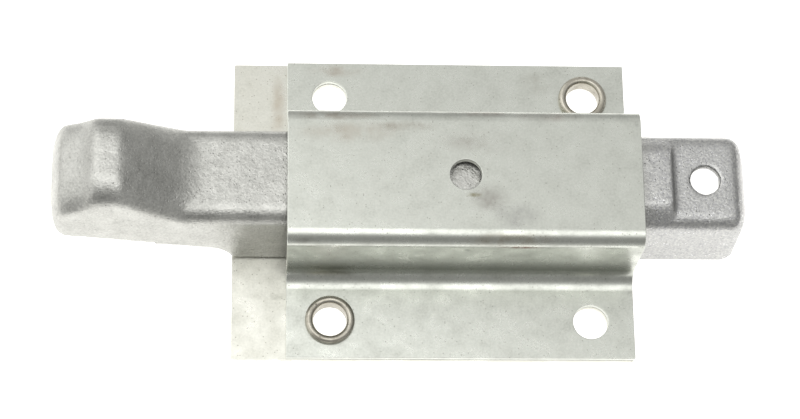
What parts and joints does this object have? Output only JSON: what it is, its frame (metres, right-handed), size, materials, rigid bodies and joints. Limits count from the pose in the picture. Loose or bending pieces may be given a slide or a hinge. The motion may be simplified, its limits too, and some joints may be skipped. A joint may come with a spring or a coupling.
{
  "type": "gravity gate latch",
  "caption": "Surface-mounted gate latch: a cast finger-knob bolt slides in a pressed steel housing on a back plate and drops by its own weight.",
  "frame": {"origin": "middle of the four mounting holes, on the back plate's rear face", "axes": "+X along the bolt, the way it drops; +Z away from the gate; +Y across the latch"},
  "size_m": [0.2, 0.092, 0.042],
  "materials": {
    "housing_zinc": "zinc plated, pale greenish grey, satin",
    "plate_zinc": "zinc plated, slightly warm, fine speckle",
    "cast_aluminium": "as cast, coarse grain",
    "eyelet_steel": "zinc plated, worn at the rolled head",
    "stud_steel": "plain steel"
  },
  "bodies": {
    "frame": {"housing": "housing_zinc", "back_plate": "plate_zinc", "eyelet_upper_right": "eyelet_steel", "eyelet_lower_left": "eyelet_steel", "stop_stud": "stud_steel"},
    "slider": {"bolt": "cast_aluminium"}
  },
  "joints": [
    {"name": "bolt_slide", "type": "slide", "parent": "frame", "child": "slider", "axis": [-1, 0, 0], "range_m": [0, 0.03175]}
  ]
}
